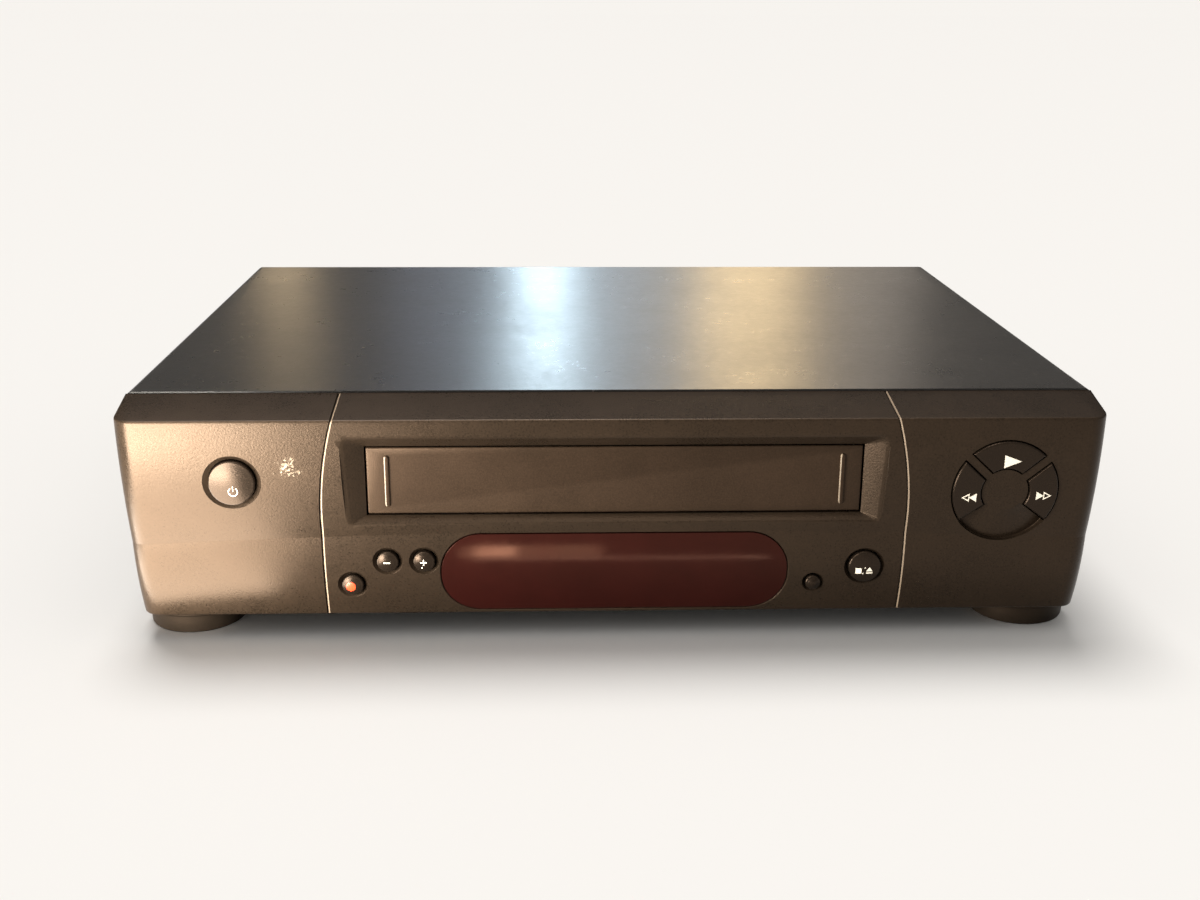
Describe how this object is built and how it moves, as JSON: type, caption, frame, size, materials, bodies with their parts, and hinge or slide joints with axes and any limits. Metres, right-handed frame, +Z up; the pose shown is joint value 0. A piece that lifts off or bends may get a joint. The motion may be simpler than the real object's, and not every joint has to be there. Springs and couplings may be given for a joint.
{
  "type": "video cassette recorder",
  "caption": "Black front-loading video cassette recorder with a bulged front panel, hinged tape door, smoked display window and a ring of tape buttons",
  "frame": {"origin": "on the floor, under the middle of the recorder's overall length and depth", "axes": "+X to the right seen from the front, +Y to the rear, +Z up"},
  "size_m": [0.38, 0.2954, 0.097],
  "materials": {
    "cover_paint": "black satin powder paint on folded sheet steel",
    "panel_plastic": "black satin ABS with a very fine grain",
    "door_plastic": "matte black-brown ABS",
    "smoked_lens": "polished dark red-brown smoked acrylic",
    "button_plastic": "satin black ABS with printed function symbols",
    "foot_rubber": "dull black rubber",
    "roller_rubber": "ground black rubber",
    "tub_plastic": "dull black moulded plastic",
    "plated_steel": "zinc-plated sheet steel",
    "bright_steel": "turned bright steel",
    "core_steel": "dull grey steel",
    "drum_alloy": "fine turned aluminium",
    "board_resin": "brown paper-resin circuit board",
    "tube_glass": "clear glass over a dark grey-green grid",
    "capacitor_sleeve": "dark blue shrink sleeve",
    "white_acetal": "off-white moulded acetal"
  },
  "bodies": {
    "case": {"top_cover": "cover_paint", "front_panel": "panel_plastic", "display_window": "smoked_lens", "chassis_tub": "tub_plastic", "rear_panel": "plated_steel", "foot_front_left": "foot_rubber", "foot_front_right": "foot_rubber", "foot_rear_left": "foot_rubber", "foot_rear_right": "foot_rubber", "cover_screw_1": "bright_steel", "cover_screw_2": "bright_steel", "cover_screw_3": "bright_steel", "cover_screw_4": "bright_steel", "main_board": "board_resin", "power_board": "board_resin", "key_board": "board_resin", "display_tube": "tube_glass", "mains_transformer": "core_steel", "mains_capacitor": "capacitor_sleeve", "heat_sink": "drum_alloy", "scart_socket_1": "tub_plastic", "scart_socket_2": "tub_plastic", "tuner_box": "plated_steel", "mains_inlet": "tub_plastic", "deck_plate": "plated_steel", "carriage_bracket_left": "plated_steel", "carriage_bracket_right": "plated_steel", "door_spring": "bright_steel", "lower_drum": "drum_alloy", "erase_head": "core_steel", "sound_head": "core_steel", "loading_motor": "core_steel"},
    "door": {"cassette_door": "door_plastic"},
    "slider": {"carriage_slider": "plated_steel"},
    "holder": {"cassette_holder": "plated_steel"},
    "head_drum": {"upper_drum": "drum_alloy"},
    "capstan": {"capstan_flywheel": "bright_steel"},
    "pinch_lever": {"pinch_arm": "bright_steel"},
    "pinch_wheel": {"pinch_roller": "roller_rubber"},
    "tension_lever": {"tension_arm": "bright_steel"},
    "guide_left": {"guide_arm_left": "bright_steel"},
    "guide_right": {"guide_arm_right": "bright_steel"},
    "supply_table": {"supply_reel": "white_acetal"},
    "takeup_table": {"takeup_reel": "white_acetal"},
    "idler_lever": {"idler_arm": "white_acetal"},
    "idler_wheel": {"idler_gear": "white_acetal"},
    "cam": {"cam_gear": "white_acetal"},
    "worm_shaft": {"worm": "white_acetal"},
    "standby_key": {"standby_button": "button_plastic"},
    "record_key": {"record_button": "button_plastic"},
    "programme_down_key": {"programme_down_button": "button_plastic"},
    "programme_up_key": {"programme_up_button": "button_plastic"},
    "install_key": {"install_button": "button_plastic"},
    "stop_key": {"stop_button": "button_plastic"},
    "play_key": {"play_button": "button_plastic"},
    "rewind_key": {"rewind_button": "button_plastic"},
    "forward_key": {"forward_button": "button_plastic"}
  },
  "joints": [
    {"name": "door_hinge", "type": "hinge", "parent": "case", "child": "door", "pos_m": [0, -0.1363, 0.0824], "axis": [1, 0, 0], "range_deg": [0, 90], "stiffness_Nm_per_rad": 0.01, "springref_deg": -17.19},
    {"name": "carriage_slide", "type": "slide", "parent": "case", "child": "slider", "axis": [0, 1, 0], "range_m": [0, 0.062]},
    {"name": "holder_drop", "type": "slide", "parent": "slider", "child": "holder", "axis": [0, 0, -1], "range_m": [0, 0.022]},
    {"name": "drum_spin", "type": "hinge", "parent": "case", "child": "head_drum", "pos_m": [0, 0.0447, 0.0258], "axis": [-0.1045, 0, 0.9945], "continuous": true},
    {"name": "capstan_spin", "type": "hinge", "parent": "case", "child": "capstan", "pos_m": [0.06, 0.0017, 0.015], "axis": [0, 0, 1], "continuous": true},
    {"name": "cam_turn", "type": "hinge", "parent": "case", "child": "cam", "pos_m": [-0.066, 0.0797, 0.0338], "axis": [0, 0, 1], "range_deg": [0, 135]},
    {"name": "worm_spin", "type": "hinge", "parent": "case", "child": "worm_shaft", "pos_m": [-0.066, 0.104, 0.0368], "axis": [1, 0, 0], "range_deg": [0, 1215]},
    {"name": "guide_left_swing", "type": "hinge", "parent": "case", "child": "guide_left", "pos_m": [-0.073, 0.0297, 0.0258], "axis": [0, 0, 1], "range_deg": [0, 90]},
    {"name": "guide_right_swing", "type": "hinge", "parent": "case", "child": "guide_right", "pos_m": [0.073, 0.0297, 0.0258], "axis": [0, 0, 1], "range_deg": [-90, 0]},
    {"name": "pinch_swing", "type": "hinge", "parent": "case", "child": "pinch_lever", "pos_m": [0.084, 0.0137, 0.0258], "axis": [0, 0, 1], "range_deg": [-30, 0]},
    {"name": "pinch_roll", "type": "hinge", "parent": "pinch_lever", "child": "pinch_wheel", "pos_m": [0.07639, -0.01171, 0.032], "axis": [0, 0, 1], "continuous": true},
    {"name": "tension_swing", "type": "hinge", "parent": "case", "child": "tension_lever", "pos_m": [-0.084, 0.0137, 0.0258], "axis": [0, 0, 1], "range_deg": [0, 20]},
    {"name": "supply_spin", "type": "hinge", "parent": "case", "child": "supply_table", "pos_m": [-0.046, -0.0523, 0.027], "axis": [0, 0, 1], "continuous": true},
    {"name": "takeup_spin", "type": "hinge", "parent": "case", "child": "takeup_table", "pos_m": [0.046, -0.0523, 0.027], "axis": [0, 0, 1], "continuous": true},
    {"name": "idler_swing", "type": "hinge", "parent": "case", "child": "idler_lever", "pos_m": [0, -0.0923, 0.0258], "axis": [0, 0, 1], "range_deg": [-16, 16]},
    {"name": "idler_spin", "type": "hinge", "parent": "idler_lever", "child": "idler_wheel", "pos_m": [0, -0.0523, 0.0288], "axis": [0, 0, 1], "continuous": true},
    {"name": "standby_press", "type": "slide", "parent": "case", "child": "standby_key", "axis": [0, 1, 0], "range_m": [0, 0.0008], "stiffness_N_per_m": 1000, "springref_m": -0.0005},
    {"name": "record_press", "type": "slide", "parent": "case", "child": "record_key", "axis": [0, 1, 0], "range_m": [0, 0.0008], "stiffness_N_per_m": 1000, "springref_m": -0.0005},
    {"name": "programme_down_press", "type": "slide", "parent": "case", "child": "programme_down_key", "axis": [0, 1, 0], "range_m": [0, 0.0008], "stiffness_N_per_m": 1000, "springref_m": -0.0005},
    {"name": "programme_up_press", "type": "slide", "parent": "case", "child": "programme_up_key", "axis": [0, 1, 0], "range_m": [0, 0.0008], "stiffness_N_per_m": 1000, "springref_m": -0.0005},
    {"name": "install_press", "type": "slide", "parent": "case", "child": "install_key", "axis": [0, 1, 0], "range_m": [0, 0.0008], "stiffness_N_per_m": 1000, "springref_m": -0.0005},
    {"name": "stop_press", "type": "slide", "parent": "case", "child": "stop_key", "axis": [0, 1, 0], "range_m": [0, 0.0008], "stiffness_N_per_m": 1000, "springref_m": -0.0005},
    {"name": "play_press", "type": "slide", "parent": "case", "child": "play_key", "axis": [0, 1, 0], "range_m": [0, 0.0008], "stiffness_N_per_m": 1000, "springref_m": -0.0005},
    {"name": "rewind_press", "type": "slide", "parent": "case", "child": "rewind_key", "axis": [0, 1, 0], "range_m": [0, 0.0008], "stiffness_N_per_m": 1000, "springref_m": -0.0005},
    {"name": "forward_press", "type": "slide", "parent": "case", "child": "forward_key", "axis": [0, 1, 0], "range_m": [0, 0.0008], "stiffness_N_per_m": 1000, "springref_m": -0.0005}
  ],
  "couplings": [
    {"joint": "worm_spin", "follows": "cam_turn", "ratio": 9},
    {"joint": "guide_left_swing", "follows": "cam_turn", "ratio": 0.6666},
    {"joint": "guide_right_swing", "follows": "cam_turn", "ratio": -0.6666},
    {"joint": "pinch_swing", "follows": "cam_turn", "ratio": -0.2222}
  ]
}
